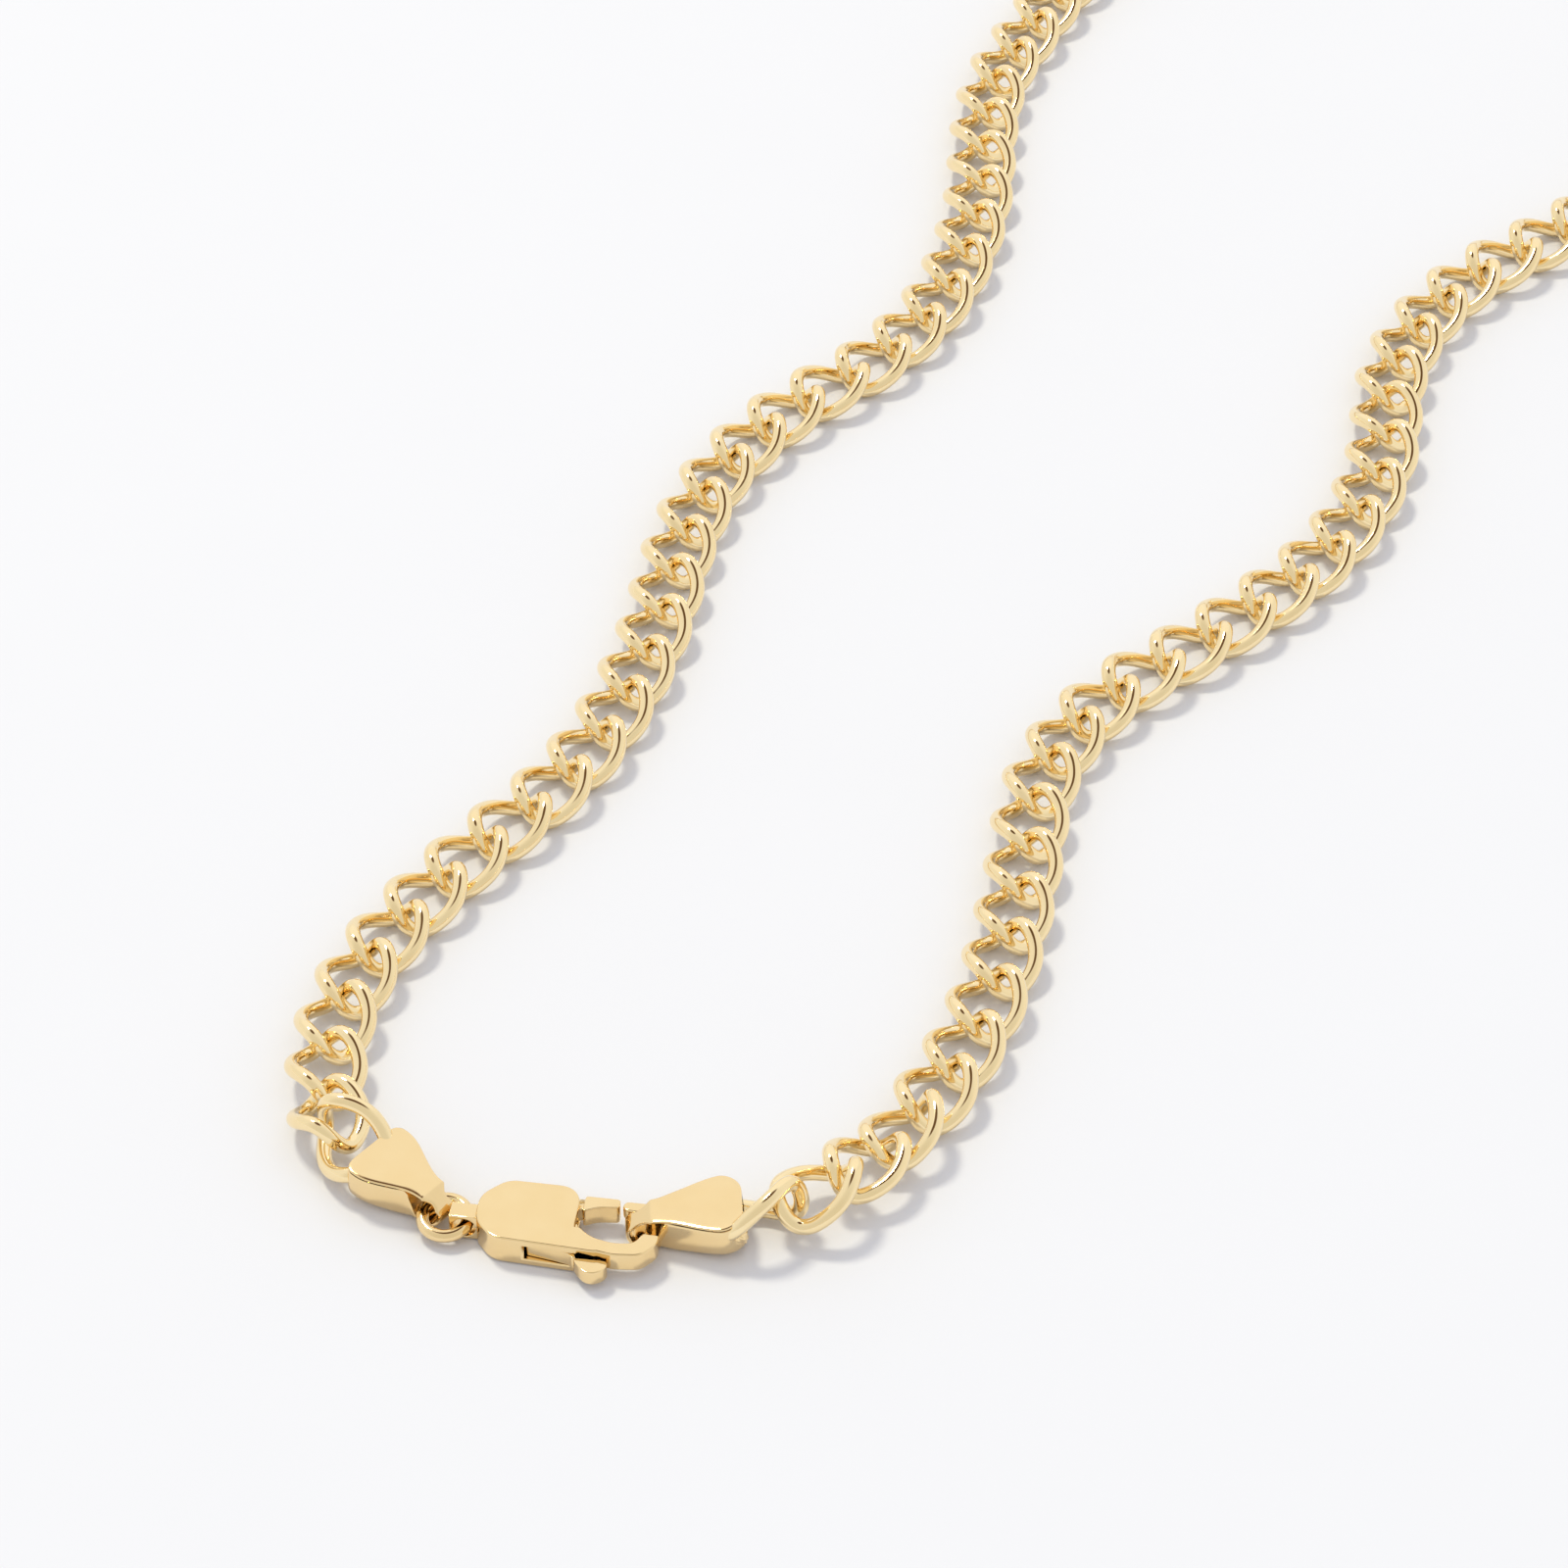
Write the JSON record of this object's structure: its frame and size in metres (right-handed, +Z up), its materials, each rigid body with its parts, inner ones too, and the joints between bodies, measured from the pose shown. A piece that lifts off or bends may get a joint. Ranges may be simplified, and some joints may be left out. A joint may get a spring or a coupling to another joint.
{
  "type": "chain necklace",
  "caption": "Open curb chain necklace lying closed in a loop, with folded end caps, a jump ring and a flat lobster clasp with a working trigger.",
  "frame": {"origin": "middle of the clasp body's underside, at the height of the surface that the necklace lies on", "axes": "+X along the clasp from its tail eye to its hook, +Y from the clasp into the loop of chain, +Z up"},
  "size_m": [0.0997, 0.1882, 0.005],
  "materials": {
    "gold": "polished 14 carat yellow gold",
    "gold_sheet": "polished 14 carat yellow gold sheet",
    "steel": "drawn wire"
  },
  "bodies": {
    "back": {"back_links": "gold"},
    "row_14": {"left_links_14": "gold", "right_links_14": "gold"},
    "row_13": {"left_links_13": "gold", "right_links_13": "gold"},
    "row_12": {"left_links_12": "gold", "right_links_12": "gold"},
    "row_11": {"left_links_11": "gold", "right_links_11": "gold"},
    "row_10": {"left_links_10": "gold", "right_links_10": "gold"},
    "row_09": {"left_links_09": "gold", "right_links_09": "gold"},
    "row_08": {"left_links_08": "gold", "right_links_08": "gold"},
    "row_07": {"left_links_07": "gold", "right_links_07": "gold"},
    "row_06": {"left_links_06": "gold", "right_links_06": "gold"},
    "row_05": {"left_links_05": "gold", "right_links_05": "gold"},
    "row_04": {"left_links_04": "gold", "right_links_04": "gold"},
    "row_03": {"left_links_03": "gold", "right_links_03": "gold"},
    "row_02": {"left_links_02": "gold", "right_links_02": "gold"},
    "front": {"left_links_01": "gold", "right_links_01": "gold", "left_end_link": "gold", "right_end_link": "gold", "left_cap": "gold_sheet", "right_cap": "gold_sheet"},
    "ring": {"jump_ring": "gold"},
    "clasp": {"clasp_body": "gold", "lever_pin": "steel", "trigger_spring": "steel"},
    "lever": {"trigger_lever": "gold"}
  },
  "joints": [
    {"name": "fold_14", "type": "hinge", "parent": "back", "child": "row_14", "pos_m": [0.05786, 0.17471, 0.00144], "axis": [-0.9868, 0.1618, 0], "range_deg": [0, 12]},
    {"name": "fold_13", "type": "hinge", "parent": "row_14", "child": "row_13", "pos_m": [0.05479, 0.16405, 0.00144], "axis": [-0.9806, 0.1962, 0], "range_deg": [0, 12]},
    {"name": "fold_12", "type": "hinge", "parent": "row_13", "child": "row_12", "pos_m": [0.05019, 0.15186, 0.00144], "axis": [-0.9766, 0.2153, 0], "range_deg": [0, 12]},
    {"name": "fold_11", "type": "hinge", "parent": "row_12", "child": "row_11", "pos_m": [0.04484, 0.13949, 0.00144], "axis": [-0.9761, 0.2172, 0], "range_deg": [0, 12]},
    {"name": "fold_10", "type": "hinge", "parent": "row_11", "child": "row_10", "pos_m": [0.0392, 0.12737, 0.00144], "axis": [-0.9794, 0.2019, 0], "range_deg": [0, 12]},
    {"name": "fold_09", "type": "hinge", "parent": "row_10", "child": "row_09", "pos_m": [0.03435, 0.11555, 0.00144], "axis": [-0.9857, 0.1688, 0], "range_deg": [0, 12]},
    {"name": "fold_08", "type": "hinge", "parent": "row_09", "child": "row_08", "pos_m": [0.03078, 0.10327, 0.00144], "axis": [-0.9902, 0.1398, 0], "range_deg": [0, 12]},
    {"name": "fold_07", "type": "hinge", "parent": "row_08", "child": "row_07", "pos_m": [0.02829, 0.09017, 0.00144], "axis": [-0.9898, 0.1422, 0], "range_deg": [0, 12]},
    {"name": "fold_06", "type": "hinge", "parent": "row_07", "child": "row_06", "pos_m": [0.02294, 0.07816, 0.00144], "axis": [-0.9844, 0.1762, 0], "range_deg": [0, 12]},
    {"name": "fold_05", "type": "hinge", "parent": "row_06", "child": "row_05", "pos_m": [0.01726, 0.06617, 0.00144], "axis": [-0.9885, 0.1512, 0], "range_deg": [0, 12]},
    {"name": "fold_04", "type": "hinge", "parent": "row_05", "child": "row_04", "pos_m": [0.01285, 0.05411, 0.00144], "axis": [-0.9952, 0.0983, 0], "range_deg": [0, 12]},
    {"name": "fold_03", "type": "hinge", "parent": "row_04", "child": "row_03", "pos_m": [0.01031, 0.04096, 0.00144], "axis": [-0.9953, 0.0969, 0], "range_deg": [0, 12]},
    {"name": "fold_02", "type": "hinge", "parent": "row_03", "child": "row_02", "pos_m": [0.0069, 0.02828, 0.00144], "axis": [-0.9923, 0.1237, 0], "range_deg": [0, 12]},
    {"name": "fold_01", "type": "hinge", "parent": "row_02", "child": "front", "pos_m": [0.0031, 0.01538, 0.00165], "axis": [-0.9916, 0.1292, -0.0051], "range_deg": [0, 12]},
    {"name": "ring_spin", "type": "hinge", "parent": "front", "child": "ring", "pos_m": [-0.00592, -0.0002, 0.00098], "axis": [0, -0.1392, 0.9903], "continuous": true},
    {"name": "clasp_roll", "type": "hinge", "parent": "front", "child": "clasp", "pos_m": [0, 0, 0.00105], "axis": [1, 0, 0], "range_deg": [-4, 4]},
    {"name": "trigger", "type": "hinge", "parent": "clasp", "child": "lever", "pos_m": [0.0009, 0.0012, 0.001], "axis": [0, 0, -1], "range_deg": [0, 20], "stiffness_Nm_per_rad": 0.004, "springref_deg": -17.19}
  ]
}
